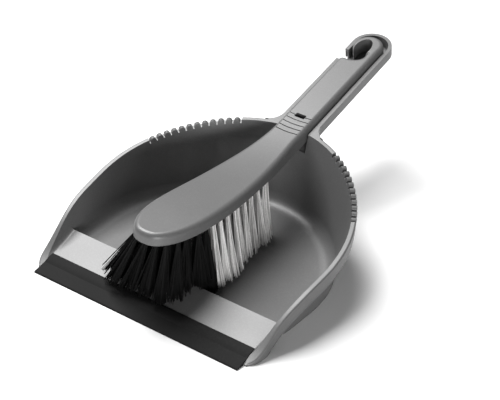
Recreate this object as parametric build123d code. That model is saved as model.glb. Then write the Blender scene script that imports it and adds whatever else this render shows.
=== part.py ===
from build123d import *
import math
import os

# Dust pan with a rubber lip, and the hand brush that nests in its handle. Millimetres, +Z up.
# Sizes are measured from the front edge of the lip (y = 0) and from the ground (z = 0). On export the
# set is centred, so that the origin is the middle of its footprint on the ground.

# tray of the pan
TRAY_CENTRE_Y = 99.0
TRAY_RADIUS = 101.0
TRAY_WAIST = 1.5
TRAY_BACK_REACH = 4.8
TRAY_TALL = 98.0
TRAY_SIDE = [(96.8, -25.0), (97.1, 15.0), (97.9, 38.0), (99.5, 58.0), (100.6, 80.0)]
WALL_DRAFT = 10.0
WALL = 1.6
FLOOR = 2.5
FLOOR_FILLET = 13.0
FOOT_FILLET = 4.0
FOOT_FRONT_Y = 50.8
FOOT_CORNER = 8.0

# ramp between the lip and the crest
RAMP_START = (22.5, 6.0)
RAMP_CREST = (51.2, 12.9)
RAMP_THICK = 2.2
RAMP_SIDE_FILLET = 4.0
PLATE_FRONT_Y = 7.8

# rim: a flat flange with an upright skirt, and a rounded nose at each side of the lip
RIM_WIDTH = 4.0
FLANGE = 2.0
SKIRT = 1.2
SKIRT_DROP = 12.0
SKIRT_EDGE = 1.2
SKIRT_NOSE = [(96.4, 7.6), (100.6, 10.6), (103.2, 15.5), (104.4, 22.5), (105.0, 32.0), (106.2, 42.4),
              (107.8, 52.0), (109.6, 63.0), (111.2, 80.0)]
HANDLE_SKIRT_DROP = 8.9
RIM_DIP = [(8.0, 1.2), (22.0, 8.6), (40.0, 22.0), (65.0, 33.9)]
RIM_PLANE_Y = 100.0
RIM_BASE_Z = 16.5
HANDLE_PITCH = 14.387
NECK_Y = 216.0

# combs: half-round teeth on the rim, one row each side
TEETH = 12
TEETH_START = 28.5
TEETH_END = 65.1
TOOTH_RADIUS = 2.7
COMB_DEPTH = 3.0

# handle of the pan: an open channel that ends in a hook
HANDLE_HALF = 18.4
CHANNEL_HALF = 14.9
CHANNEL_DEPTH = 9.4
CHANNEL_FLOOR = 1.8
CHUTE_S = (219.0, 234.0)
CHUTE_DROP = 6.0
HOOK_S = 353.5
NECK_FLARE = 15.0
MOUTH_S = (324.0, 339.0)
EYE_CENTRE = (-1.8, 341.0)
EYE_HALF = (7.3, 13.3)
PAN_EYE_CENTRE = (0.0, 336.0)
PAN_EYE_HALF = (5.0, 9.0)
CATCH_S = 235.2
CATCH_SIZE = (6.0, 2.0)
CATCH_TOP = -1.5

# rubber lip
LIP_HALF = 96.2
LIP_PROUD = 0.9
LIP_SEAT = 1.2
LIP_CREASE_Y = 12.5

# stock of the brush
STOCK_HALF = 13.6
STOCK_TOP_N = 5.7
STOCK_BOTTOM_N = -8.0
STOCK_PLAN = [(0.0, 11.0), (8.4, 12.8), (15.2, 20.0), (22.0, 38.0), (24.4, 68.0), (23.2, 99.0),
              (19.8, 142.0), (15.2, 184.0)]
STOCK_TOP = [(5.0, 73.4), (38.0, 71.8), (70.0, 69.7), (99.0, 67.9), (142.0, 67.5), (184.0, 71.3)]
STOCK_LOW = [(5.0, 62.9), (38.0, 61.3), (70.0, 59.2), (99.0, 57.4), (142.0, 56.9), (176.0, 57.4)]
STOCK_MID_Z = 62.0
STOCK_JOIN_Y = 214.0
STOCK_EDGE = 4.0
STOCK_LOW_EDGE = 1.5
STOCK_HOOK_CENTRE = (0.2, 347.6)
STOCK_HOOK_RADIUS = 13.7
STOCK_ARM_LEFT = 5.0
STOCK_THROAT = [(-4.6, 323.3), (1.2, 325.6), (4.2, 328.8), (5.0, 333.0)]
STOCK_END_S = 323.3
STOCK_CORNER = 4.0
GROOVES = 5
GROOVE_START = 213.2
GROOVE_PITCH = 5.5
GROOVE_SIZE = (0.9, 0.6)
GROOVE_RADIUS = 60.0
SLOT_SIZE = (9.4, 4.8)

# tufts of bristle, in ranks across the head
RANKS = 15
DARK_RANKS = 5
RANK_START_Y = 24.0
RANK_PITCH = 9.6
ROW_PITCH = 8.3
HOLE_RADIUS = 1.7
HOLE_DEPTH = 8.5
TUFT_RADIUS = 1.65
TUFT_TIP_RADIUS = 3.9
TUFT_CLEAR = 1.2
DARK_SPLAY = (1.9, 1.6)
DARK_LEAN = ((-12.0, -4.0), (-5.0, -3.0))
PALE_SPLAY = 1.5
PALE_LEAN = (0.0, 1.0)
ANCHOR = (3.1, 0.45, 2.0)

PITCH = math.radians(HANDLE_PITCH)
DRAFT = math.tan(math.radians(WALL_DRAFT))
RIM_SLOPE = math.tan(PITCH)
RAMP_SLOPE = (RAMP_CREST[1] - RAMP_START[1]) / (RAMP_CREST[0] - RAMP_START[0])
HANDLE_PLANE = Plane(origin=(0, 0, RIM_BASE_Z), x_dir=(1, 0, 0),
                     z_dir=(0, -math.sin(PITCH), math.cos(PITCH)))
BIG = 400.0


def rim_z(y):
    """Height of the rim plane at y."""
    return RIM_BASE_Z + RIM_SLOPE * y


def ramp_z(y):
    """Height of the ramp's top face at y."""
    return RAMP_START[1] + RAMP_SLOPE * (y - RAMP_START[0])


def tray_radius(angle):
    """Distance from the tray's centre to its wall at ground level."""
    waist = TRAY_WAIST * math.sin(2 * angle) ** 2
    return TRAY_RADIUS - waist + TRAY_BACK_REACH * math.sin(angle) ** 4


def side_solid(face):
    """A solid of constant section across the set, from a face drawn in (y, z)."""
    return extrude(Plane.YZ * face, amount=BIG / 2, both=True)


def tray_points(offset):
    """The tray's plan, right front corner round the back to left front corner."""
    side = [(x + offset, y) for x, y in TRAY_SIDE]
    steps = 12
    back = []
    for i in range(steps + 1):
        angle = math.pi * i / steps
        r = tray_radius(angle) + offset
        back.append((r * math.cos(angle), TRAY_CENTRE_Y + r * math.sin(angle)))
    return side + back + [(-x, y) for x, y in reversed(side)]


def tray_block(offset, low, high=TRAY_TALL):
    """A leaning block with the tray's plan, grown by offset, between two heights."""
    faces = []
    for z in (low, high):
        points = tray_points(offset + z * DRAFT)
        outline = [Spline(*points), Line(points[-1], points[0])]
        faces.append(Pos(0, 0, z) * make_face(outline))
    return loft(faces, ruled=True)


def under_rim(drop=0.0, rear_drop=None):
    """Everything lower than the rim's top line, less a drop."""
    rear_drop = drop if rear_drop is None else rear_drop
    start = (RIM_PLANE_Y, rim_z(RIM_PLANE_Y) - drop)
    dip = [(y, z - drop) for y, z in RIM_DIP] + [start]
    neck = (NECK_Y, rim_z(NECK_Y) - rear_drop)
    end = (BIG, rim_z(BIG) - rear_drop)
    slope = (start[1] - neck[1]) / (start[0] - neck[0])
    curve = Spline(*dip, tangents=[(1, 0.4), (1, slope)])
    rest = Polyline(start, neck, end, (BIG, -60), (dip[0][0], -60), dip[0])
    return side_solid(make_face([curve, rest]))


def sector(first, last):
    """The wedges of plan, left and right, that the combs take up."""
    r = 2 * TRAY_RADIUS
    a, b = math.radians(first), math.radians(last)
    points = [(0, 0), (r * math.cos(a), r * math.sin(a)), (r * math.cos(b), r * math.sin(b)), (0, 0)]
    right = Pos(0, TRAY_CENTRE_Y, 0) * extrude(make_face(Polyline(*points)), amount=TRAY_TALL)
    return right + mirror(right, about=Plane.YZ)


def rim_radius(angle, width=RIM_WIDTH):
    """Distance from the tray's centre to a line on the rim, a width out from the tray's wall."""
    lift = width + DRAFT * rim_z(TRAY_CENTRE_Y)
    return (tray_radius(angle) + lift) / (1 - DRAFT * RIM_SLOPE * math.sin(angle))


def rim_plan():
    """The plan of the rim's outer edge: a nose at each side of the lip, joined round the back."""
    steps = 12
    back = []
    for i in range(steps + 1):
        angle = math.pi * i / steps
        r = rim_radius(angle)
        back.append((r * math.cos(angle), TRAY_CENTRE_Y + r * math.sin(angle)))
    points = SKIRT_NOSE + back + [(-x, y) for x, y in reversed(SKIRT_NOSE)]
    front = Polyline(points[-1], (-SKIRT_NOSE[0][0], -25), (SKIRT_NOSE[0][0], -25), points[0])
    return make_face([Spline(*points), front])


def rim_block(inset=0.0, low=0.0):
    """An upright block with the rim's plan, drawn in by an inset, from a height up."""
    plan = rim_plan()
    if inset:
        plan = offset(plan, amount=-inset).faces()[0]
    return loft([Pos(0, 0, low) * plan, Pos(0, 0, TRAY_TALL) * plan], ruled=True)


def comb(angle):
    """One half-round tooth, lying across the rim at an angle round the tray."""
    r = rim_radius(angle, RIM_WIDTH / 2)
    y = TRAY_CENTRE_Y + r * math.sin(angle)
    z = rim_z(y) - TOOTH_RADIUS
    spot = Pos(r * math.cos(angle), y, z) * Rot(0, 0, math.degrees(angle)) * Rot(0, 90, 0)
    return spot * Cylinder(TOOTH_RADIUS, RIM_WIDTH * 3)


def rim_ring():
    """An upright ring that holds the whole rim, outside the tray."""
    return rim_block() - tray_block(0, 0)


def combs():
    """Both rows of teeth, standing on the floor of the comb's valleys."""
    step = (TEETH_END - TEETH_START) / (TEETH - 1)
    teeth = None
    for i in range(TEETH):
        tooth = comb(math.radians(TEETH_START + i * step))
        teeth = tooth if teeth is None else teeth + tooth
    teeth = teeth + mirror(teeth, about=Plane.YZ)
    return teeth & rim_ring()


def tray_void():
    """The space inside the tray: over the floor, and over the ramp."""
    floor = tray_block(0, FLOOR)
    foot = floor.edges().group_by(Axis.Z)[0].filter_by(GeomType.LINE, reverse=True)
    floor = fillet(foot, FLOOR_FILLET)
    riser = Polyline((RAMP_CREST[0] + 4, FLOOR - 1), (RAMP_CREST[0] + 1.4, RAMP_CREST[1] - 1.2),
                     (RAMP_CREST[0] - 0.2, RAMP_CREST[1] + 0.2), (RAMP_CREST[0], BIG), (-BIG, BIG),
                     (-BIG, FLOOR - 1), (RAMP_CREST[0] + 4, FLOOR - 1))
    floor = floor - side_solid(make_face(riser))
    above = Polyline((-60, ramp_z(-60)), (300, ramp_z(300)), (300, 150), (-60, 150), (-60, ramp_z(-60)))
    ramp = tray_block(0, -12) & side_solid(make_face(above))
    sides = [e for e in ramp.edges() if abs(e.center().Z - ramp_z(e.center().Y)) < 3.0
             and e.geom_type != GeomType.LINE and e.length > 100]
    ramp = fillet(sides, RAMP_SIDE_FILLET)
    return floor + ramp


def tray_body():
    """The outside of the tray: a footed base and the walls beside the ramp, not yet hollow."""
    base = tray_block(WALL, 0)
    front = Pos(0, FOOT_FRONT_Y / 2 - 100, 0) * Box(300, FOOT_FRONT_Y + 200, 2 * BIG)
    base = base - front
    corners = [e for e in base.edges() if abs(e.center().Y - FOOT_FRONT_Y) < 0.1
               and e.length > 50 and abs(e.center().X) > 50]
    base = fillet(corners, FOOT_CORNER)
    base = fillet(base.edges().group_by(Axis.Z)[0], FOOT_FILLET)
    low = RAMP_THICK
    above = Polyline((-60, ramp_z(-60) - low), (300, ramp_z(300) - low), (300, 150), (-60, 150),
                     (-60, ramp_z(-60) - low))
    upper = tray_block(WALL, -12) & side_solid(make_face(above))
    return (base + upper) & under_rim()


def tray_rim():
    """The flange round the tray and the skirt that hangs from its rounded outer edge."""
    block = rim_block() & under_rim()
    crown = [e for e in block.edges() if e.geom_type != GeomType.LINE and e.center().Z > 12
             and math.hypot(e.center().X, e.center().Y - TRAY_CENTRE_Y) > TRAY_RADIUS]
    block = fillet(crown, SKIRT_EDGE)
    pocket = rim_block(SKIRT, -1) & under_rim(FLANGE)
    return block - pocket - under_rim(SKIRT_DROP, HANDLE_SKIRT_DROP)


def rim_outline():
    """The rim's outer edge behind the combs, drawn in the handle's plane."""
    points = []
    steps = 10
    for i in range(steps + 1):
        angle = math.radians(30 + 120 * i / steps)
        r = rim_radius(angle)
        points.append((r * math.cos(angle), (TRAY_CENTRE_Y + r * math.sin(angle)) / math.cos(PITCH)))
    return make_face([Spline(*points), Line(points[-1], points[0])])


def handle_strip(half, start, hook_radius):
    """The plan of the handle and its round end, drawn in the handle's plane."""
    strip = Pos(0, (start + HOOK_S) / 2) * Rectangle(2 * half, HOOK_S - start)
    return strip + Pos(0, HOOK_S) * Circle(hook_radius)


def mouth_cut():
    """The opening in the left side of the hook."""
    low, high = MOUTH_S
    cut = Pos(-17, (low + high) / 2) * RectangleRounded(17, high - low, 2.0)
    return HANDLE_PLANE * extrude(cut, amount=60, both=True)


def chute(half, floor):
    """The mouth of the channel, which slopes down into the tray from the channel's floor."""
    start, end = CHUTE_S
    low = floor - CHUTE_DROP
    side = Polyline((190, 0), (190, low), (start, low), (end, floor), (end, 0), (190, 0))
    return extrude(Plane.YZ * make_face(side), amount=half, both=True)


def pan_handle():
    """The pan's handle: flange, skirt, channel walls and floor, before the channel is hollowed."""
    start = 200.0
    rim = rim_outline()
    plan = rim + handle_strip(HANDLE_HALF, start, HANDLE_HALF)
    neck = [v for v in plan.vertices() if abs(abs(v.X) - HANDLE_HALF) < 0.2 and v.Y < 240]
    plan = fillet(neck, NECK_FLARE)
    skirt_plan = (plan - offset(plan, amount=-SKIRT)) - rim
    throat = rim & Pos(0, start + 20) * Rectangle(2 * HANDLE_HALF + NECK_FLARE, 40)
    flange = extrude((plan - rim) + throat, amount=-FLANGE)
    skirt = extrude(skirt_plan, amount=-HANDLE_SKIRT_DROP)
    channel = extrude(handle_strip(CHANNEL_HALF + WALL, start, CHANNEL_HALF + WALL),
                      amount=-CHANNEL_DEPTH - CHANNEL_FLOOR)
    channel = channel + chute(CHANNEL_HALF + WALL, -CHANNEL_DEPTH - CHANNEL_FLOOR)
    behind = Pos(0, NECK_Y / 2 - 6, 0) * Box(300, NECK_Y, 400)
    return (HANDLE_PLANE * (flange + skirt + channel)) - behind


def channel_void():
    """The space inside the handle's channel, open on top and into the tray."""
    strip = Pos(0, 0, -CHANNEL_DEPTH) * extrude(
        handle_strip(CHANNEL_HALF, 190.0, CHANNEL_HALF + 0.3), amount=CHANNEL_DEPTH + 60)
    return HANDLE_PLANE * (strip + chute(CHANNEL_HALF, -CHANNEL_DEPTH))


def eye_cut(centre, half):
    """An oval hanging eye, through the handle along its normal."""
    return HANDLE_PLANE * extrude(Pos(*centre) * Ellipse(*half), amount=60, both=True)


def catch():
    """The upright tab in the channel that enters the brush's slot."""
    height = CHANNEL_DEPTH + CATCH_TOP
    tab = Pos(0, CATCH_S, CATCH_TOP - height / 2) * Box(*CATCH_SIZE, height)
    tab = chamfer(tab.edges().group_by(Axis.Z)[-1], 0.5)
    return HANDLE_PLANE * tab


def lip_section():
    """The lip's section: a crowned band on the ramp's edge, a crease and a thin blade in front."""
    seat = RAMP_START[0]
    crown = Spline((seat - 1.0, ramp_z(seat - 1.0) + LIP_PROUD), (18.0, ramp_z(18.0) + 1.15),
                   (LIP_CREASE_Y, ramp_z(LIP_CREASE_Y) + 0.1))
    blade = Spline((LIP_CREASE_Y, ramp_z(LIP_CREASE_Y) + 0.1), (6.0, 2.35), (0.8, 1.3))
    back = Polyline((0.8, 1.3), (0, 0.7), (0, 0), (PLATE_FRONT_Y, 0.1),
                    (PLATE_FRONT_Y, ramp_z(PLATE_FRONT_Y) - LIP_SEAT), (seat, ramp_z(seat) - LIP_SEAT),
                    (seat, ramp_z(seat) + LIP_PROUD - 0.5), (seat - 1.0, ramp_z(seat - 1.0) + LIP_PROUD))
    return make_face([crown, blade, back])


def rubber_lip():
    """The rubber strip along the front of the pan."""
    return extrude(Plane.YZ * lip_section(), amount=LIP_HALF, both=True)


def pan():
    """The pan: one moulding of tray, ramp, rim, combs, handle, hook and catch."""
    comb_area = sector(TEETH_START - 2.1, TEETH_END + 2.1)
    body = tray_body() + tray_rim()
    valley = rim_ring() & (under_rim(COMB_DEPTH) - under_rim(COMB_DEPTH + 2.0))
    body = body + (valley & comb_area)
    body = body - (comb_area - under_rim(COMB_DEPTH))
    body = body + combs() + pan_handle()
    body = body - tray_void() - channel_void() - mouth_cut()
    body = body - eye_cut(PAN_EYE_CENTRE, PAN_EYE_HALF)
    body = body + catch()
    front = Pos(0, PLATE_FRONT_Y - 100, 0) * Box(BIG, 200, BIG)
    ground = Pos(0, 0, -50) * Box(2 * BIG, 4 * BIG, 100)
    lip_room = Plane.YZ * lip_section()
    return body - front - ground - extrude(lip_room, amount=LIP_HALF, both=True)


def stock_half_width(y):
    """Half the head's width at y, between the points of its plan."""
    for (x0, y0), (x1, y1) in zip(STOCK_PLAN, STOCK_PLAN[1:]):
        if y0 <= y <= y1:
            return x0 + (x1 - x0) * (y - y0) / (y1 - y0)
    return STOCK_HALF


def under_head_z(y):
    """Height of the head's underside at y, between the points of its lower line."""
    for (y0, z0), (y1, z1) in zip(STOCK_LOW, STOCK_LOW[1:]):
        if y0 <= y <= y1:
            return z0 + (z1 - z0) * (y - y0) / (y1 - y0)
    return STOCK_LOW[-1][1]


def stock_head():
    """The head and neck of the brush stock, before its edges are rounded."""
    right = STOCK_PLAN + [(STOCK_HALF, STOCK_JOIN_Y)]
    left = [(-x, y) for x, y in reversed(right[1:])]
    tip = Spline(*left, *right, tangents=[(0, -1), (0, 1)])
    tail = Polyline(right[-1], (STOCK_HALF, 226), (-STOCK_HALF, 226), left[0])
    plan = extrude(make_face([tip, tail]), amount=120)
    join_top = rim_z(STOCK_JOIN_Y) + STOCK_TOP_N / math.cos(PITCH)
    join_low = rim_z(STOCK_JOIN_Y) + STOCK_BOTTOM_N / math.cos(PITCH)
    top = Spline(*STOCK_TOP, (STOCK_JOIN_Y, join_top), tangents=[(1, -0.05), (1, RIM_SLOPE)])
    low = Spline(*STOCK_LOW, (STOCK_JOIN_Y, join_low), tangents=[(1, -0.05), (1, RIM_SLOPE)])
    end = STOCK_JOIN_Y + 12
    rise = RIM_SLOPE * 12
    back = Polyline((STOCK_JOIN_Y, join_top), (end, join_top + rise), (end, join_low + rise),
                    (STOCK_JOIN_Y, join_low))
    front = Line(STOCK_LOW[0], STOCK_TOP[0])
    return plan & side_solid(make_face([top, back, low, front]))


def stock_handle():
    """The handle and hook of the brush stock."""
    start = 222.0
    strip = Pos(0, (start + STOCK_END_S) / 2) * Rectangle(2 * STOCK_HALF, STOCK_END_S - start)
    corner = [v for v in strip.vertices() if v.X < 0 and v.Y > start + 1]
    strip = fillet(corner, STOCK_CORNER)
    throat = make_face([Spline(*STOCK_THROAT), Polyline(STOCK_THROAT[-1], (10, 333), (10, 320),
                                                        (-4.6, 320), STOCK_THROAT[0])])
    arm_x = (STOCK_ARM_LEFT + STOCK_HALF) / 2
    arm_s = (STOCK_END_S - 6 + STOCK_HOOK_CENTRE[1]) / 2
    arm = Pos(arm_x, arm_s) * Rectangle(STOCK_HALF - STOCK_ARM_LEFT, STOCK_HOOK_CENTRE[1] - STOCK_END_S + 6)
    plan = strip + throat + arm + Pos(*STOCK_HOOK_CENTRE) * Circle(STOCK_HOOK_RADIUS)
    height = STOCK_TOP_N - STOCK_BOTTOM_N
    return HANDLE_PLANE * (Pos(0, 0, STOCK_BOTTOM_N) * extrude(plan, amount=height))


def stock_edges(body, top):
    """The long edges round the stock's top face, or round its underside."""
    level = STOCK_TOP_N if top else STOCK_BOTTOM_N
    found = []
    for edge in body.edges():
        centre = edge.center()
        on_head = centre.Y < STOCK_JOIN_Y + 0.5
        side = edge.length > 50 and abs(centre.X) > 5 and (centre.Z > STOCK_MID_Z) == top
        on_handle = abs(HANDLE_PLANE.to_local_coords(centre).Z - level) < 0.05
        if (on_head and side) or (on_handle and not on_head):
            found.append(edge)
    return found


def stock_grooves():
    """The shallow arcs across the handle, near the neck."""
    width, depth = GROOVE_SIZE
    grooves = None
    for i in range(GROOVES):
        s = GROOVE_START + i * GROOVE_PITCH
        ring = Circle(GROOVE_RADIUS) - Circle(GROOVE_RADIUS - width)
        arc = Pos(0, s + GROOVE_RADIUS - 1.0) * (ring & Pos(0, -GROOVE_RADIUS) * Rectangle(21, 12))
        cut = HANDLE_PLANE * (Pos(0, 0, STOCK_TOP_N - depth) * extrude(arc, amount=5))
        grooves = cut if grooves is None else grooves + cut
    return grooves


def brush_stock(tufts):
    """The brush stock, drilled for its tufts."""
    stock = stock_head() + stock_handle()
    stock = fillet(stock_edges(stock, True), STOCK_EDGE)
    stock = fillet(stock_edges(stock, False), STOCK_LOW_EDGE)
    stock = stock - eye_cut(EYE_CENTRE, EYE_HALF) - stock_grooves()
    slot = Pos(0, CATCH_S) * Rectangle(*SLOT_SIZE)
    stock = stock - HANDLE_PLANE * extrude(slot, amount=40, both=True)
    for rank in tufts:
        for tuft in rank:
            hole = Pos(tuft["x"], tuft["y"], tuft["root"] + HOLE_DEPTH / 2 - 1)
            stock = stock - hole * Cylinder(HOLE_RADIUS, HOLE_DEPTH + 2)
    return stock


def tuft_stance(i):
    """How far the tips of a rank spread, and where they lean, across and along the brush."""
    if i >= DARK_RANKS:
        return PALE_SPLAY, PALE_LEAN
    share = (i / (DARK_RANKS - 1)) ** 2
    splay = DARK_SPLAY[0] + share * (DARK_SPLAY[1] - DARK_SPLAY[0])
    first, last = DARK_LEAN
    return splay, (first[0] + share * (last[0] - first[0]), first[1] + share * (last[1] - first[1]))


def tuft_table():
    """Where each tuft stands: its root, its tip and the height of the ground under the tip."""
    ranks = []
    for i in range(RANKS):
        y = RANK_START_Y + i * RANK_PITCH
        across = int((2 * stock_half_width(y) - 4.5) / ROW_PITCH) + 1
        rank = []
        splay, lean = tuft_stance(i)
        for j in range(across):
            x = (j - (across - 1) / 2) * ROW_PITCH
            tip_y = y + lean[1] * (1 - i / RANKS)
            ground = ramp_z(tip_y + TUFT_TIP_RADIUS) if tip_y < RAMP_CREST[0] + 6 else FLOOR
            ground = min(ground, RAMP_CREST[1])
            rank.append({"x": x, "y": y, "root": under_head_z(y), "tip_x": x * splay + lean[0],
                         "tip_y": tip_y, "tip_z": ground + TUFT_CLEAR})
        ranks.append(rank)
    return ranks


def tuft(spot):
    """One tuft: a straight root in its hole, and a spray that leans and widens to its tip."""
    low = spot["root"] - 0.5
    top = spot["root"] + HOLE_DEPTH - ANCHOR[2]
    root = Pos(spot["x"], spot["y"], (low + top) / 2) * Cylinder(TUFT_RADIUS, top - low)
    upper = Pos(spot["x"], spot["y"], low) * Circle(TUFT_RADIUS)
    lower = Pos(spot["tip_x"], spot["tip_y"], spot["tip_z"]) * Circle(TUFT_TIP_RADIUS)
    return root + loft([lower, upper], ruled=True)


def anchor(spot):
    """The flat wire staple at the bottom of a tuft's hole."""
    z = spot["root"] + HOLE_DEPTH - ANCHOR[2] / 2
    return Pos(spot["x"], spot["y"], z) * Box(*ANCHOR)


def save(shape, name, centre):
    """Write one node's STEP file."""
    shape = centre * shape
    shape.label = name
    export_step(shape, f"parts/{name}.step")


def main():
    """Build every piece and write it."""
    os.makedirs("parts", exist_ok=True)
    ranks = tuft_table()
    pan_shape = pan()
    lip_shape = rubber_lip()
    length = pan_shape.bounding_box().max.Y - lip_shape.bounding_box().min.Y
    centre = Pos(0, -length / 2, 0)
    save(pan_shape, "pan", centre)
    save(lip_shape, "rubber_lip", centre)
    save(brush_stock(ranks), "brush_stock", centre)
    for i, rank in enumerate(ranks):
        shade = "dark" if i < DARK_RANKS else "pale"
        save(Compound([tuft(spot) for spot in rank]), f"{shade}_tufts_rank_{i + 1:02d}", centre)
        save(Compound([anchor(spot) for spot in rank]), f"anchors_rank_{i + 1:02d}", centre)
    print("length", round(length, 3))


main()
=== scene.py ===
import logging
import math
import random
from dataclasses import dataclass, field
from enum import Enum

import bpy
from mathutils import Matrix, Vector


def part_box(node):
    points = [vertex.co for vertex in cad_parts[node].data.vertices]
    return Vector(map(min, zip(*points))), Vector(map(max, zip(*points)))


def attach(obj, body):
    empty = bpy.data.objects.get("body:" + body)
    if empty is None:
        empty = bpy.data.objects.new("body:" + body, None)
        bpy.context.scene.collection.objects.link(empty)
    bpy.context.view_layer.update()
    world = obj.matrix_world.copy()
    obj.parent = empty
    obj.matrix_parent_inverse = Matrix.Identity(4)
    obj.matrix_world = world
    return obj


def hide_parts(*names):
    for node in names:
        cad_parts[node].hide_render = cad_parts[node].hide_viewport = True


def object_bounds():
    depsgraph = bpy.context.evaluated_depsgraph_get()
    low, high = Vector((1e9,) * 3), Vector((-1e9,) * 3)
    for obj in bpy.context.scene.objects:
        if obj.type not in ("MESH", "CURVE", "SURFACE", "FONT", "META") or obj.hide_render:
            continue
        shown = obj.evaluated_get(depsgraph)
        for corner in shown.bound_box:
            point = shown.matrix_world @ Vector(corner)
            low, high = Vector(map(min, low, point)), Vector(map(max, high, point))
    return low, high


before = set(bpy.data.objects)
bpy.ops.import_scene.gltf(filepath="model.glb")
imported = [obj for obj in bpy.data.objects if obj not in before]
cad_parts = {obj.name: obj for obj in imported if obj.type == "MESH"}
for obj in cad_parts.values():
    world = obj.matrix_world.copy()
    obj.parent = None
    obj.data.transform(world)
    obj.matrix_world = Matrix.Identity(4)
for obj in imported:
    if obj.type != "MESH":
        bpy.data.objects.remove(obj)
cad_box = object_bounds()
log = logging.getLogger("dust_pan_set")

MM = 0.001


class Slot(Enum):
    """The record's material slots for bristle."""

    DARK = "dark_bristle"
    PALE = "pale_bristle"


class Body(Enum):
    """The body that the bristles move with."""

    BRUSH = "hand_brush"


# ---------------------------------------------------------------- shader graphs


class Graph:
    """Adds nodes to one node tree and joins them."""

    def __init__(self, tree: bpy.types.NodeTree) -> None:
        """Takes hold of a tree.

        Args:
            tree: the node tree to write into.
        """
        self.tree = tree

    def add(self, kind: str, inputs: dict | None = None, **settings: object) -> bpy.types.Node:
        """Adds one node.

        Args:
            kind: the node's type name.
            inputs: a value or an output socket for each named or numbered input.
            settings: the node's own properties.

        Returns:
            The new node.
        """
        node = self.tree.nodes.new(kind)
        for name, value in settings.items():
            setattr(node, name, value)
        for key, value in (inputs or {}).items():
            if isinstance(value, bpy.types.NodeSocket):
                self.tree.links.new(value, node.inputs[key])
            else:
                node.inputs[key].default_value = value
        return node

    def math(self, operation: str, first: object, second: object = 0.0) -> bpy.types.NodeSocket:
        """Adds a Math node.

        Args:
            operation: what it does, such as MULTIPLY.
            first: its first value or socket.
            second: its second value or socket.

        Returns:
            Its output socket.
        """
        node = self.add("ShaderNodeMath", {0: first, 1: second}, operation=operation)
        return node.outputs[0]

    def span(self, value: object, low: float, high: float, to_low: object = 0.0,
             to_high: object = 1.0) -> bpy.types.NodeSocket:
        """Adds a clamped Map Range node.

        Args:
            value: the socket to map.
            low: the value that gives to_low.
            high: the value that gives to_high.
            to_low: the lowest result.
            to_high: the highest result.

        Returns:
            Its output socket.
        """
        inputs = {"Value": value, "From Min": low, "From Max": high, "To Min": to_low, "To Max": to_high}
        return self.add("ShaderNodeMapRange", inputs).outputs["Result"]

    def mix(self, share: object, first: object, second: object) -> bpy.types.NodeSocket:
        """Adds a colour Mix node.

        Args:
            share: how much of the second colour shows.
            first: the first colour or socket.
            second: the second colour or socket.

        Returns:
            Its colour output.
        """
        node = self.add("ShaderNodeMix", data_type="RGBA")
        for key, value in ((0, share), (6, first), (7, second)):
            if isinstance(value, bpy.types.NodeSocket):
                self.tree.links.new(value, node.inputs[key])
            else:
                node.inputs[key].default_value = value
        return node.outputs[2]


def grey(value: float, warmth: float = 0.0) -> tuple[float, float, float, float]:
    """A grey as a colour socket takes it.

    Args:
        value: its lightness.
        warmth: how far red goes over blue.

    Returns:
        Red, green, blue and alpha.
    """
    return (value * (1 + warmth), value, value * (1 - warmth), 1.0)


@dataclass(frozen=True)
class Port:
    """One socket of a shader node group."""

    name: str
    kind: str = "NodeSocketFloat"
    value: float | None = None


class Effect:
    """A shader node group that several finishes share."""

    title: str = ""
    inputs: tuple[Port, ...] = ()
    outputs: tuple[Port, ...] = ()

    def group(self) -> bpy.types.NodeTree:
        """Builds the group the first time, and finds it after that.

        Returns:
            The node group.
        """
        found = bpy.data.node_groups.get(self.title)
        if found is not None:
            return found
        tree = bpy.data.node_groups.new(self.title, "ShaderNodeTree")
        for port in self.inputs:
            socket = tree.interface.new_socket(name=port.name, in_out="INPUT", socket_type=port.kind)
            if port.value is not None:
                socket.default_value = port.value
        for port in self.outputs:
            tree.interface.new_socket(name=port.name, in_out="OUTPUT", socket_type=port.kind)
        graph = Graph(tree)
        source = graph.add("NodeGroupInput")
        sink = graph.add("NodeGroupOutput")
        self.fill(graph, source, sink)
        return tree

    def fill(self, graph: Graph, source: bpy.types.Node, sink: bpy.types.Node) -> None:
        """Draws the group's inside.

        Args:
            graph: the group's graph.
            source: its input node.
            sink: its output node.
        """
        raise NotImplementedError

    def place(self, graph: Graph, **values: float) -> bpy.types.Node:
        """Puts the group into a material.

        Args:
            graph: the material's graph.
            values: a value for each input, with underscores for spaces.

        Returns:
            The group node.
        """
        node = graph.add("ShaderNodeGroup", node_tree=self.group())
        for name, value in values.items():
            node.inputs[name.replace("_", " ")].default_value = value
        return node


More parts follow.
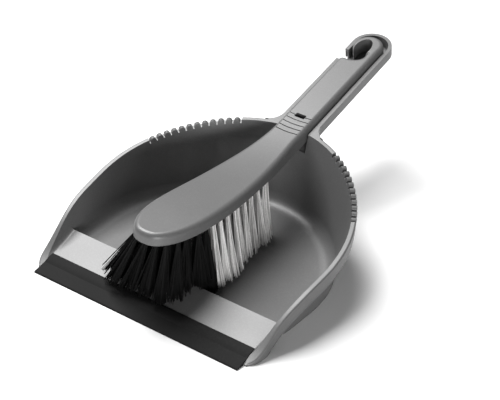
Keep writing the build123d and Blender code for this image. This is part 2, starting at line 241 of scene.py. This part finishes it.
class MetalFleck(Effect):
    """Tiny bright flakes in a moulded plastic, and its slow changes of shade."""

    title = "metal_fleck"
    inputs = (Port("Size", value=1.0), Port("Flakes", value=0.2), Port("Clouding", value=0.1))
    outputs = (Port("Lighter"), Port("Darker"))
    CELLS_PER_METRE = 2600.0
    CLOUDS_PER_METRE = 22.0
    FLAKE_RANGE = (0.72, 1.0)
    CLOUD_RANGE = (0.35, 0.7)

    def fill(self, graph: Graph, source: bpy.types.Node, sink: bpy.types.Node) -> None:
        """Draws flakes from cells and clouding from slow noise.

        Args:
            graph: the group's graph.
            source: its input node.
            sink: its output node.
        """
        place = graph.add("ShaderNodeTexCoord").outputs["Object"]
        fine = graph.math("DIVIDE", self.CELLS_PER_METRE, source.outputs["Size"])
        cells = graph.add("ShaderNodeTexVoronoi", {"Vector": place, "Scale": fine, "Randomness": 1.0})
        pick = graph.add("ShaderNodeSeparateColor", {"Color": cells.outputs["Color"]})
        flake = graph.span(pick.outputs["Red"], *self.FLAKE_RANGE)
        cloud = graph.add("ShaderNodeTexNoise", {"Vector": place, "Scale": self.CLOUDS_PER_METRE,
                                                 "Detail": 4.0, "Roughness": 0.6})
        shade = graph.span(cloud.outputs["Fac"], *self.CLOUD_RANGE)
        lighter = graph.math("MULTIPLY", flake, source.outputs["Flakes"])
        darker = graph.math("MULTIPLY", shade, source.outputs["Clouding"])
        graph.tree.links.new(lighter, sink.inputs["Lighter"])
        graph.tree.links.new(darker, sink.inputs["Darker"])


class MouldGrain(Effect):
    """The fine spark-eroded grain of a moulding."""

    title = "mould_grain"
    inputs = (Port("Size", value=1.0),)
    outputs = (Port("Height"),)
    FINE_PER_METRE = 1500.0
    COARSE_PER_METRE = 260.0
    COARSE_SHARE = 0.6

    def fill(self, graph: Graph, source: bpy.types.Node, sink: bpy.types.Node) -> None:
        """Adds two noises, one fine and one coarser.

        Args:
            graph: the group's graph.
            source: its input node.
            sink: its output node.
        """
        place = graph.add("ShaderNodeTexCoord").outputs["Object"]
        fine = graph.math("DIVIDE", self.FINE_PER_METRE, source.outputs["Size"])
        coarse = graph.math("DIVIDE", self.COARSE_PER_METRE, source.outputs["Size"])
        first = graph.add("ShaderNodeTexNoise", {"Vector": place, "Scale": fine, "Detail": 3.0})
        second = graph.add("ShaderNodeTexNoise", {"Vector": place, "Scale": coarse, "Detail": 2.0})
        lift = graph.math("MULTIPLY", second.outputs["Fac"], self.COARSE_SHARE)
        total = graph.math("ADD", first.outputs["Fac"], lift)
        graph.tree.links.new(total, sink.inputs["Height"])


class Scuffs(Effect):
    """Thin scratches and smears from use, long across the sweep."""

    title = "scuffs"
    inputs = (Port("Amount", value=0.3), Port("Stretch", value=9.0))
    outputs = (Port("Mask"), Port("Smear"))
    BENDS_PER_METRE = 14.0
    LINES_PER_METRE = 62.0
    PATCHES_PER_METRE = 9.0
    PEAK_RANGE = (0.62, 0.72)
    SMEAR_RANGE = (0.45, 0.75)

    def fill(self, graph: Graph, source: bpy.types.Node, sink: bpy.types.Node) -> None:
        """Stretches noise along the sweep and keeps its peaks.

        Args:
            graph: the group's graph.
            source: its input node.
            sink: its output node.
        """
        place = graph.add("ShaderNodeTexCoord").outputs["Object"]
        warp = graph.add("ShaderNodeTexNoise", {"Vector": place, "Scale": self.BENDS_PER_METRE,
                                                "Detail": 1.0})
        bent = graph.add("ShaderNodeVectorMath", {0: place, 1: warp.outputs["Color"]}, operation="ADD")
        across = graph.add("ShaderNodeCombineXYZ", {"X": source.outputs["Stretch"], "Y": 1.0, "Z": 1.0})
        long_way = graph.add("ShaderNodeVectorMath", {0: bent.outputs[0], 1: across.outputs[0]},
                             operation="MULTIPLY")
        lines = graph.add("ShaderNodeTexNoise", {"Vector": long_way.outputs[0],
                                                 "Scale": self.LINES_PER_METRE,
                                                 "Detail": 5.0, "Roughness": 0.65})
        peaks = graph.span(lines.outputs["Fac"], *self.PEAK_RANGE)
        patches = graph.add("ShaderNodeTexNoise", {"Vector": place, "Scale": self.PATCHES_PER_METRE,
                                                   "Detail": 3.0})
        smear = graph.span(patches.outputs["Fac"], *self.SMEAR_RANGE)
        mask = graph.math("MULTIPLY", graph.math("MULTIPLY", peaks, smear), source.outputs["Amount"])
        graph.tree.links.new(mask, sink.inputs["Mask"])
        graph.tree.links.new(graph.math("MULTIPLY", smear, source.outputs["Amount"]), sink.inputs["Smear"])


class FineDust(Effect):
    """A light film of dust on what faces up."""

    title = "fine_dust"
    inputs = (Port("Amount", value=0.1),)
    outputs = (Port("Mask"),)
    SPECKS_PER_METRE = 520.0
    FILMS_PER_METRE = 16.0
    UP_RANGE = (0.4, 1.0)
    SPECK_RANGE = (0.5, 0.75)
    SPECK_COVER = (0.25, 1.0)
    FILM_RANGE = (0.35, 0.75)

    def fill(self, graph: Graph, source: bpy.types.Node, sink: bpy.types.Node) -> None:
        """Multiplies speckled noise by how far the face looks up.

        Args:
            graph: the group's graph.
            source: its input node.
            sink: its output node.
        """
        turn = graph.add("ShaderNodeNewGeometry").outputs["Normal"]
        up = graph.add("ShaderNodeSeparateXYZ", {"Vector": turn}).outputs["Z"]
        flat = graph.span(up, *self.UP_RANGE)
        place = graph.add("ShaderNodeTexCoord").outputs["Object"]
        specks = graph.add("ShaderNodeTexNoise", {"Vector": place, "Scale": self.SPECKS_PER_METRE,
                                                  "Detail": 2.0})
        film = graph.add("ShaderNodeTexNoise", {"Vector": place, "Scale": self.FILMS_PER_METRE,
                                                "Detail": 4.0})
        grains = graph.span(specks.outputs["Fac"], *self.SPECK_RANGE, *self.SPECK_COVER)
        cover = graph.math("MULTIPLY", grains, graph.span(film.outputs["Fac"], *self.FILM_RANGE))
        mask = graph.math("MULTIPLY", graph.math("MULTIPLY", cover, flat), source.outputs["Amount"])
        graph.tree.links.new(mask, sink.inputs["Mask"])


FLECK = MetalFleck()
GRAIN = MouldGrain()
SCUFFS = Scuffs()
DUST = FineDust()


# ---------------------------------------------------------------- finishes


class Finish:
    """A material that can be put on pieces."""

    title: str

    def material(self) -> bpy.types.Material:
        """Builds the material the first time, and finds it after that.

        Returns:
            The material.
        """
        found = bpy.data.materials.get(self.title)
        if found is not None:
            return found
        made = bpy.data.materials.new(self.title)
        made.use_nodes = True
        made.node_tree.nodes.clear()
        graph = Graph(made.node_tree)
        shader = graph.add("ShaderNodeBsdfPrincipled")
        sink = graph.add("ShaderNodeOutputMaterial", {"Surface": shader.outputs["BSDF"]})
        sink.is_active_output = True
        self.draw(graph, shader)
        return made

    def draw(self, graph: Graph, shader: bpy.types.Node) -> None:
        """Joins the finish's own nodes to its shader.

        Args:
            graph: the material's graph.
            shader: its Principled node.
        """
        raise NotImplementedError

    def dress(self, piece: bpy.types.Object) -> None:
        """Puts the finish on a piece, in place of what it has.

        Args:
            piece: the piece to dress.
        """
        if not piece.material_slots:
            piece.data.materials.append(self.material())
        for place in piece.material_slots:
            place.link = "OBJECT"
            place.material = self.material()


@dataclass(frozen=True)
class MouldedPlastic(Finish):
    """Satin grey plastic with a metallic fleck."""

    title: str
    tone: float
    shine: float = 0.15
    roughness: float = 0.42
    flakes: float = 0.25
    clouding: float = 0.12
    scuffs: float = 0.25
    dust: float = 0.06
    grain: float = 0.05
    edge: float = 0.35 * MM
    cloud_shade: float = 0.7
    flake_shade: float = 1.9
    scuff_shade: float = 1.35
    dust_tone: float = 0.55

    def draw(self, graph: Graph, shader: bpy.types.Node) -> None:
        """Flecks and clouds the colour, smears the gloss and rounds the edges' normals.

        Args:
            graph: the material's graph.
            shader: its Principled node.
        """
        fleck = FLECK.place(graph, Size=1.0, Flakes=self.flakes, Clouding=self.clouding)
        scuff = SCUFFS.place(graph, Amount=self.scuffs, Stretch=9.0)
        dust = DUST.place(graph, Amount=self.dust)
        colour = graph.mix(fleck.outputs["Darker"], grey(self.tone), grey(self.tone * self.cloud_shade))
        colour = graph.mix(fleck.outputs["Lighter"], colour, grey(self.tone * self.flake_shade))
        colour = graph.mix(scuff.outputs["Mask"], colour, grey(self.tone * self.scuff_shade))
        colour = graph.mix(dust.outputs["Mask"], colour, grey(self.dust_tone, 0.02))
        graph.tree.links.new(colour, shader.inputs["Base Color"])
        rough = graph.span(scuff.outputs["Smear"], 0.0, 1.0, self.roughness, self.roughness + 0.2)
        rough = graph.math("ADD", rough, graph.math("MULTIPLY", dust.outputs["Mask"], 0.6))
        graph.tree.links.new(rough, shader.inputs["Roughness"])
        shader.inputs["Metallic"].default_value = self.shine
        shader.inputs["Specular IOR Level"].default_value = 0.5
        grain = GRAIN.place(graph, Size=1.0)
        soft = graph.add("ShaderNodeBevel", {"Radius": self.edge}, samples=4)
        bump = graph.add("ShaderNodeBump", {"Strength": self.grain, "Distance": 0.2 * MM,
                                            "Height": grain.outputs["Height"],
                                            "Normal": soft.outputs["Normal"]})
        graph.tree.links.new(bump.outputs["Normal"], shader.inputs["Normal"])


@dataclass(frozen=True)
class LipRubber(Finish):
    """Dull dark rubber with a fine grain and a little dust."""

    title: str = "soft_dark_rubber"
    tone: float = 0.009
    roughness: float = 0.7
    dust: float = 0.02
    cloud_shade: float = 0.6
    scuff_shade: float = 2.4
    dust_tone: float = 0.4

    def draw(self, graph: Graph, shader: bpy.types.Node) -> None:
        """Mottles the rubber and dusts it.

        Args:
            graph: the material's graph.
            shader: its Principled node.
        """
        fleck = FLECK.place(graph, Size=1.6, Flakes=0.1, Clouding=0.35)
        scuff = SCUFFS.place(graph, Amount=0.5, Stretch=5.0)
        dust = DUST.place(graph, Amount=self.dust)
        colour = graph.mix(fleck.outputs["Darker"], grey(self.tone), grey(self.tone * self.cloud_shade))
        colour = graph.mix(scuff.outputs["Mask"], colour, grey(self.tone * self.scuff_shade))
        colour = graph.mix(dust.outputs["Mask"], colour, grey(self.dust_tone, 0.03))
        graph.tree.links.new(colour, shader.inputs["Base Color"])
        rough = graph.span(scuff.outputs["Smear"], 0.0, 0.5, self.roughness, self.roughness + 0.15)
        graph.tree.links.new(rough, shader.inputs["Roughness"])
        shader.inputs["Specular IOR Level"].default_value = 0.12
        grain = GRAIN.place(graph, Size=1.4)
        soft = graph.add("ShaderNodeBevel", {"Radius": 0.3 * MM}, samples=4)
        bump = graph.add("ShaderNodeBump", {"Strength": 0.16, "Distance": 0.2 * MM,
                                            "Height": grain.outputs["Height"],
                                            "Normal": soft.outputs["Normal"]})
        graph.tree.links.new(bump.outputs["Normal"], shader.inputs["Normal"])


@dataclass(frozen=True)
class Filament(Finish):
    """Glossy extruded bristle, each one a little lighter or darker than the next."""

    title: str
    dark: float
    light: float
    roughness: float = 0.38
    warmth: float = 0.0
    gloss: float = 0.5

    def draw(self, graph: Graph, shader: bpy.types.Node) -> None:
        """Takes each bristle's shade from its mesh and streaks it.

        Args:
            graph: the material's graph.
            shader: its Principled node.
        """
        shade = graph.add("ShaderNodeAttribute", attribute_name=TuftRank.SHADE).outputs["Fac"]
        grain = GRAIN.place(graph, Size=2.0)
        streak = graph.span(grain.outputs["Height"], 0.5, 1.1, -0.12, 0.12)
        share = graph.math("ADD", shade, streak)
        colour = graph.mix(share, grey(self.dark, self.warmth), grey(self.light, self.warmth))
        graph.tree.links.new(colour, shader.inputs["Base Color"])
        rough = graph.span(grain.outputs["Height"], 0.4, 1.2, self.roughness - 0.06, self.roughness + 0.1)
        graph.tree.links.new(rough, shader.inputs["Roughness"])
        shader.inputs["Specular IOR Level"].default_value = self.gloss


@dataclass(frozen=True)
class FlatWire(Finish):
    """Drawn steel wire with lines along it."""

    title: str = "drawn_steel_wire"
    tone: float = 0.55
    roughness: float = 0.32

    def draw(self, graph: Graph, shader: bpy.types.Node) -> None:
        """Streaks the steel lightly.

        Args:
            graph: the material's graph.
            shader: its Principled node.
        """
        scuff = SCUFFS.place(graph, Amount=0.6, Stretch=0.15)
        colour = graph.mix(scuff.outputs["Mask"], grey(self.tone), grey(self.tone * 0.55))
        graph.tree.links.new(colour, shader.inputs["Base Color"])
        rough = graph.span(scuff.outputs["Smear"], 0.0, 0.6, self.roughness, self.roughness + 0.2)
        graph.tree.links.new(rough, shader.inputs["Roughness"])
        shader.inputs["Metallic"].default_value = 1.0


# ---------------------------------------------------------------- the pan


@dataclass
class DustPan:
    """The pan and its rubber lip, which keep their CAD shapes."""

    plastic: MouldedPlastic = MouldedPlastic("pan_satin_plastic", tone=0.115)
    rubber: LipRubber = LipRubber()

    def build(self) -> list[bpy.types.Object]:
        """Dresses the pan's nodes.

        Returns:
            The pieces that it dressed.
        """
        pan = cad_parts["pan"]
        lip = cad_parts["rubber_lip"]
        self.plastic.dress(pan)
        self.rubber.dress(lip)
        return [pan, lip]


# ---------------------------------------------------------------- the brush


class Tone(Enum):
    """The two kinds of bristle."""

    DARK = "dark"
    PALE = "pale"


@dataclass
class Habit:
    """How the bristles of one kind stand, in metres.

    A strand is a few bristles that cling together. Each has a shade inside the strand's own range, and a
    rare one gets the palest shade: a painted highlight that stands in for light glinting off dark
    bristles.
    """

    finish: Filament
    slot: Slot
    strands: int = 9
    per_strand: int = 6
    radius: float = 0.22 * MM
    strand_spread: float = 3.6 * MM
    loose: float = 1.0 * MM
    wave: float = 0.45 * MM
    ragged: float = 3.0 * MM
    flare: float = 0.42
    shade: tuple[float, float] = (0.1, 0.9)
    mixed: float = 0.15
    # share of bristles painted at the palest shade: a painted highlight for glints off dark bristles
    painted_glint_share: float = 0.0


@dataclass
class TuftRank:
    """One rank of tufts across the head, as single bristles."""

    number: int
    tone: Tone
    habit: Habit
    row_pitch: float = 8.3 * MM
    anchor_half: float = 1.55 * MM
    hole_depth: float = 8.5 * MM
    root_radius: float = 1.25 * MM
    rings: int = 6
    seed: int = 40
    strand_core: float = 0.7
    strand_core_spread: float = 0.45
    bristle_core: float = 0.4
    buried: float = 0.55
    mid_height: float = 0.5
    wave_turns: float = 5.0

    SHADE = "bristle_shade"
    SIDES = 4

    def __post_init__(self) -> None:
        """Reads the rank's place from its CAD nodes."""
        self.node = f"{self.tone.value}_tufts_rank_{self.number:02d}"
        self.low, self.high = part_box(self.node)
        self.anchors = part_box(f"anchors_rank_{self.number:02d}")
        self.dice = random.Random(self.seed + self.number)

    def roots(self) -> list[Vector]:
        """Where each tuft leaves the head.

        Returns:
            A point for each tuft, at the mouth of its hole.
        """
        first, last = self.anchors
        reach = last.x - self.anchor_half
        count = round(2 * reach / self.row_pitch) + 1
        y = (first.y + last.y) / 2
        mouth = last.z - self.hole_depth
        return [Vector((-reach + i * self.row_pitch, y, mouth)) for i in range(count)]

    def tips(self, roots: list[Vector]) -> list[Vector]:
        """Where the middle of each tuft ends.

        Args:
            roots: the tufts' roots.

        Returns:
            A point for each tuft, just over the pan.
        """
        half = (self.high.y - self.low.y) / 2
        left, right = self.low.x + half, self.high.x - half
        middle = (self.low.y + self.high.y) / 2
        last = len(roots) - 1
        return [Vector((left + (right - left) * i / last, middle, self.low.z)) for i in range(last + 1)]

    def disc(self, radius: float) -> Vector:
        """Picks a random point of a flat disc.

        Args:
            radius: the disc's radius.

        Returns:
            The point, from the disc's middle.
        """
        angle = self.dice.uniform(0, 2 * math.pi)
        r = radius * math.sqrt(self.dice.random())
        return Vector((r * math.cos(angle), r * math.sin(angle), 0))

    def line(self, start: Vector, mouth: Vector, end: Vector) -> list[Vector]:
        """The path of one bristle: straight out of its hole, then a flare with a slight wave.

        Args:
            start: its top, in the hole.
            mouth: where it leaves the hole.
            end: its tip.

        Returns:
            The points along it.
        """
        along = end - mouth
        flare = self.habit.flare
        bend = mouth + Vector((along.x * flare, along.y * flare, along.z * self.mid_height))
        turn = self.dice.uniform(0, 2 * math.pi)
        phase = self.dice.uniform(0, 2 * math.pi)
        size = self.habit.wave * self.dice.uniform(0.2, 1.0)
        way = Vector((math.cos(turn), math.sin(turn), 0))
        points = [start]
        for i in range(self.rings):
            t = i / (self.rings - 1)
            spot = mouth * (1 - t) ** 2 + bend * (2 * t * (1 - t)) + end * t ** 2
            points.append(spot + way * (size * t * math.sin(phase + self.wave_turns * t)))
        return points

    def strand(self, root: Vector, tip: Vector) -> list[tuple[list[Vector], float]]:
        """A few bristles that cling together.

        Args:
            root: the tuft's root.
            tip: the middle of the tuft's end.

        Returns:
            Each bristle's points and shade.
        """
        from_root = self.disc(self.root_radius * self.strand_core)
        share = self.habit.strand_spread
        to_tip = from_root * (share / self.root_radius) + self.disc(share * self.strand_core_spread)
        light = self.dice.uniform(*self.habit.shade)
        ragged = self.dice.uniform(0, self.habit.ragged)
        made = []
        for _ in range(self.habit.per_strand):
            own = self.disc(self.root_radius * self.bristle_core)
            mouth = root + from_root + own
            start = mouth + Vector((0, 0, self.hole_depth * self.buried))
            end = tip + to_tip + own + self.disc(self.habit.loose)
            end.z += ragged * 0.5 + self.dice.uniform(0, self.habit.ragged) * 0.5
            shade = light + self.dice.uniform(-self.habit.mixed, self.habit.mixed)
            # a rare bristle takes the palest shade: a painted highlight standing in for light glinting off
            # the bristles
            if self.dice.random() < self.habit.painted_glint_share:
                shade = 1.0
            made.append((self.line(start, mouth, end), shade))
        return made

    def build(self) -> bpy.types.Object:
        """Makes the rank's mesh and stands it in for its CAD node.

        Returns:
            The new piece.
        """
        roots = self.roots()
        bristles = []
        for root, tip in zip(roots, self.tips(roots)):
            for _ in range(self.habit.strands):
                bristles += self.strand(root, tip)
        points, faces, shades = [], [], []
        for path, shade in bristles:
            self.tube(path, points, faces)
            shades += [shade] * (len(path) * self.SIDES)
        mesh = bpy.data.meshes.new(self.node + "_bristles")
        mesh.from_pydata(points, [], faces)
        mesh.attributes.new(self.SHADE, "FLOAT", "POINT").data.foreach_set("value", shades)
        mesh.polygons.foreach_set("use_smooth", [True] * len(faces))
        mesh.update()
        piece = bpy.data.objects.new(self.node + "_bristles", mesh)
        bpy.context.scene.collection.objects.link(piece)
        self.habit.finish.dress(piece)
        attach(piece, Body.BRUSH.value)
        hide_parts(self.node)
        return piece

    def tube(self, path: list[Vector], points: list[Vector], faces: list[tuple[int, ...]]) -> None:
        """Adds one closed bristle to the mesh lists.

        Args:
            path: the points along it.
            points: the mesh's vertices so far.
            faces: the mesh's faces so far.
        """
        base = len(points)
        twist = self.dice.uniform(0, math.pi / 2)
        radius = self.habit.radius * self.dice.uniform(0.85, 1.15)
        for spot in path:
            for k in range(self.SIDES):
                a = twist + 2 * math.pi * k / self.SIDES
                points.append(spot + Vector((radius * math.cos(a), radius * math.sin(a), 0)))
        for i in range(len(path) - 1):
            for k in range(self.SIDES):
                a, b = base + i * self.SIDES + k, base + i * self.SIDES + (k + 1) % self.SIDES
                faces.append((a, a + self.SIDES, b + self.SIDES, b))
        faces.append(tuple(base + k for k in range(self.SIDES)))
        end = base + (len(path) - 1) * self.SIDES
        faces.append(tuple(end + k for k in reversed(range(self.SIDES))))


@dataclass
class HandBrush:
    """The stock, its anchors and fifteen ranks of bristle."""

    ranks: int = 15
    dark_ranks: int = 5
    plastic: MouldedPlastic = MouldedPlastic("stock_satin_plastic", tone=0.115)
    wire: FlatWire = FlatWire()
    dark: Habit = field(default_factory=lambda: Habit(
        Filament("black_bristle", dark=0.001, light=0.007, roughness=0.6, gloss=0.12), Slot.DARK,
        strands=34, per_strand=4, radius=0.24 * MM, strand_spread=8.2 * MM, loose=1.2 * MM,
        # rare bristles at the palest shade are a painted highlight for glints on the black bristles
        wave=0.6 * MM, ragged=4.0 * MM, flare=0.5, painted_glint_share=0.004))
    pale: Habit = field(default_factory=lambda: Habit(
        Filament("pale_grey_bristle", dark=0.25, light=0.95, roughness=0.35, warmth=0.01), Slot.PALE,
        strands=16, per_strand=4, radius=0.2 * MM, strand_spread=4.6 * MM, loose=0.7 * MM,
        ragged=4.5 * MM, shade=(0.15, 0.85), mixed=0.4))

    def build(self) -> list[bpy.types.Object]:
        """Dresses the stock and anchors and grows the bristles.

        Returns:
            The brush's pieces.
        """
        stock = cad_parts["brush_stock"]
        self.plastic.dress(stock)
        pieces = [stock]
        for number in range(1, self.ranks + 1):
            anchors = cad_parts[f"anchors_rank_{number:02d}"]
            self.wire.dress(anchors)
            is_dark = number <= self.dark_ranks
            tone, habit = (Tone.DARK, self.dark) if is_dark else (Tone.PALE, self.pale)
            pieces += [anchors, TuftRank(number, tone, habit).build()]
        return pieces


# ---------------------------------------------------------------- the studio


@dataclass(frozen=True)
class SoftBox:
    """A soft rectangular lamp: metres and watts."""

    name: str
    spot: tuple[float, float, float]
    size: tuple[float, float]
    power: float


@dataclass
class Studio:
    """A pale floor, soft lights and the camera."""

    lamps: tuple[SoftBox, ...] = (
        SoftBox("top_box", (-0.6, 0.15, 1.15), (0.8, 0.8), 34.0),
        SoftBox("front_right_fill", (1.1, -1.2, 0.25), (0.7, 0.35), 18.0),
    )
    room_lit: float = 0.10
    room_shown: float = 1.0
    floor_radius: float = 1.7
    floor_rim: int = 96
    floor_tone: float = 0.86
    floor_roughness: float = 0.9
    aim_across: float = 8.1 * MM
    aim_behind_lip: float = 143.0 * MM
    aim_height: float = 40.3 * MM
    distance: float = 1.0644
    azimuth: float = 31.518
    elevation: float = 31.828
    roll: float = 4.541
    lens: float = 94.74

    def __post_init__(self) -> None:
        """Finds the point that the camera and the lamps look at."""
        front = cad_box[0].y
        self.aim = Vector((self.aim_across, front + self.aim_behind_lip, self.aim_height))

    def floor(self) -> bpy.types.Object:
        """Lays the floor, which isn't part of the set.

        Returns:
            The floor.
        """
        rim = self.floor_rim
        points = [(0.0, 0.0, 0.0)]
        for i in range(rim):
            a = 2 * math.pi * i / rim
            points.append((self.floor_radius * math.cos(a), self.floor_radius * math.sin(a), 0.0))
        faces = [(0, i + 1, (i + 1) % rim + 1) for i in range(rim)]
        mesh = bpy.data.meshes.new("studio_floor")
        mesh.from_pydata(points, [], faces)
        made = bpy.data.objects.new("studio_floor", mesh)
        bpy.context.scene.collection.objects.link(made)
        paper = bpy.data.materials.new("pale_paper")
        paper.use_nodes = True
        shader = paper.node_tree.nodes["Principled BSDF"]
        shader.inputs["Base Color"].default_value = grey(self.floor_tone)
        shader.inputs["Roughness"].default_value = self.floor_roughness
        mesh.materials.append(paper)
        return made

    def hang(self, box: SoftBox) -> bpy.types.Object:
        """Hangs a soft box that points at the set.

        Args:
            box: the lamp to hang.

        Returns:
            The lamp.
        """
        data = bpy.data.lights.new(box.name, "AREA")
        data.shape = "RECTANGLE"
        data.size, data.size_y = box.size
        data.energy = box.power
        lamp = bpy.data.objects.new(box.name, data)
        lamp.location = Vector(box.spot)
        lamp.rotation_euler = (self.aim - Vector(box.spot)).to_track_quat("-Z", "Y").to_euler()
        bpy.context.scene.collection.objects.link(lamp)
        return lamp

    def sky(self) -> None:
        """Sets the room's own light and the shade that shows behind the floor."""
        world = bpy.data.worlds.new("studio_room")
        world.use_nodes = True
        world.node_tree.nodes.clear()
        graph = Graph(world.node_tree)
        dim = graph.add("ShaderNodeBackground", {"Color": grey(1.0), "Strength": self.room_lit})
        pale = graph.add("ShaderNodeBackground", {"Color": grey(1.0), "Strength": self.room_shown})
        ray = graph.add("ShaderNodeLightPath").outputs["Is Camera Ray"]
        blend = graph.add("ShaderNodeMixShader", {0: ray, 1: dim.outputs[0], 2: pale.outputs[0]})
        graph.add("ShaderNodeOutputWorld", {"Surface": blend.outputs[0]})
        bpy.context.scene.world = world

    def camera(self) -> bpy.types.Object:
        """Sets the camera at its distance, angle and tilt from the point that it looks at.

        Returns:
            The camera.
        """
        az, el, roll = (math.radians(a) for a in (self.azimuth, self.elevation, self.roll))
        ahead = Vector((-math.sin(az) * math.cos(el), math.cos(az) * math.cos(el), -math.sin(el)))
        level = Vector((math.cos(az), math.sin(az), 0))
        upright = level.cross(ahead)
        right = level * math.cos(roll) + upright * math.sin(roll)
        up = upright * math.cos(roll) - level * math.sin(roll)
        data = bpy.data.cameras.new("camera")
        data.lens = self.lens
        data.sensor_width = 36.0
        data.clip_start, data.clip_end = 0.05, 30.0
        made = bpy.data.objects.new("camera", data)
        turn = Matrix((right, up, -ahead)).transposed()
        made.matrix_world = Matrix.Translation(self.aim - ahead * self.distance) @ turn.to_4x4()
        bpy.context.scene.collection.objects.link(made)
        bpy.context.scene.camera = made
        return made

    def build(self) -> None:
        """Makes the floor, the lights, the room and the camera."""
        self.floor()
        for box in self.lamps:
            self.hang(box)
        self.sky()
        self.camera()
        bpy.context.scene.view_settings.view_transform = "Standard"


def main() -> None:
    """Builds the set and its studio, and says what was made."""
    logging.basicConfig(level=logging.INFO, format="%(name)s: %(message)s")
    for maker in (DustPan(), HandBrush()):
        for piece in maker.build():
            log.info("%s: %s, %d faces", type(maker).__name__, piece.name, len(piece.data.polygons))
    Studio().build()


if __name__ == "__main__":
    main()
